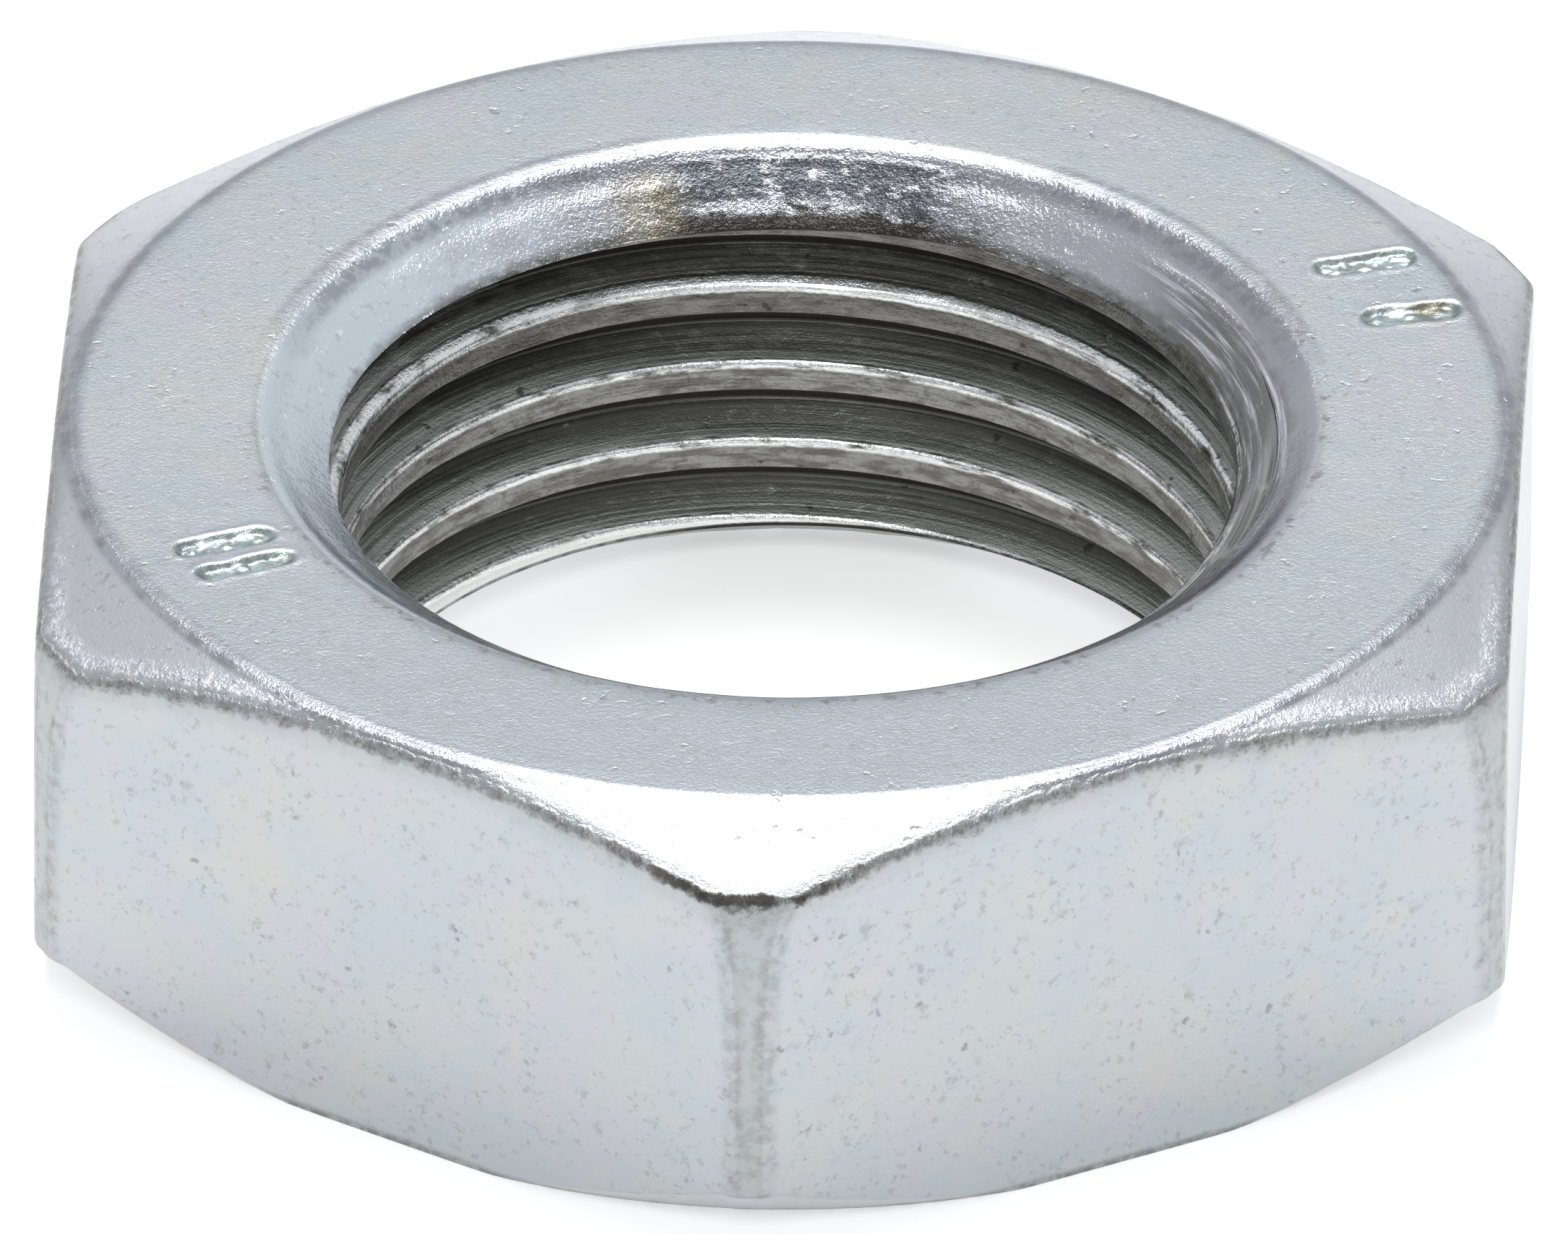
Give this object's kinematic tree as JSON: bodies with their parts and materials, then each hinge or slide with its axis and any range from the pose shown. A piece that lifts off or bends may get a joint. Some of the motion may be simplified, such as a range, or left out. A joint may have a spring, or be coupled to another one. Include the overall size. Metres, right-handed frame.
{
  "type": "hex nut",
  "caption": "Thin hexagon nut with a right-hand fine thread, countersunk at both ends, with a chamfered top face that carries short stamped strokes. Bright zinc-plated steel.",
  "frame": {"origin": "on the thread axis, at the base face", "axes": "+Z along the thread axis from the base to the stamped top face; two spanner flats face +X and -X; two corners point along +Y and -Y"},
  "size_m": [0.024, 0.0274, 0.0077],
  "materials": {
    "zinc_plated_steel": "bright zinc plating, satin, with faint iridescence and dark specks"
  },
  "bodies": {
    "root": {"hex_nut": "zinc_plated_steel"}
  },
  "joints": []
}
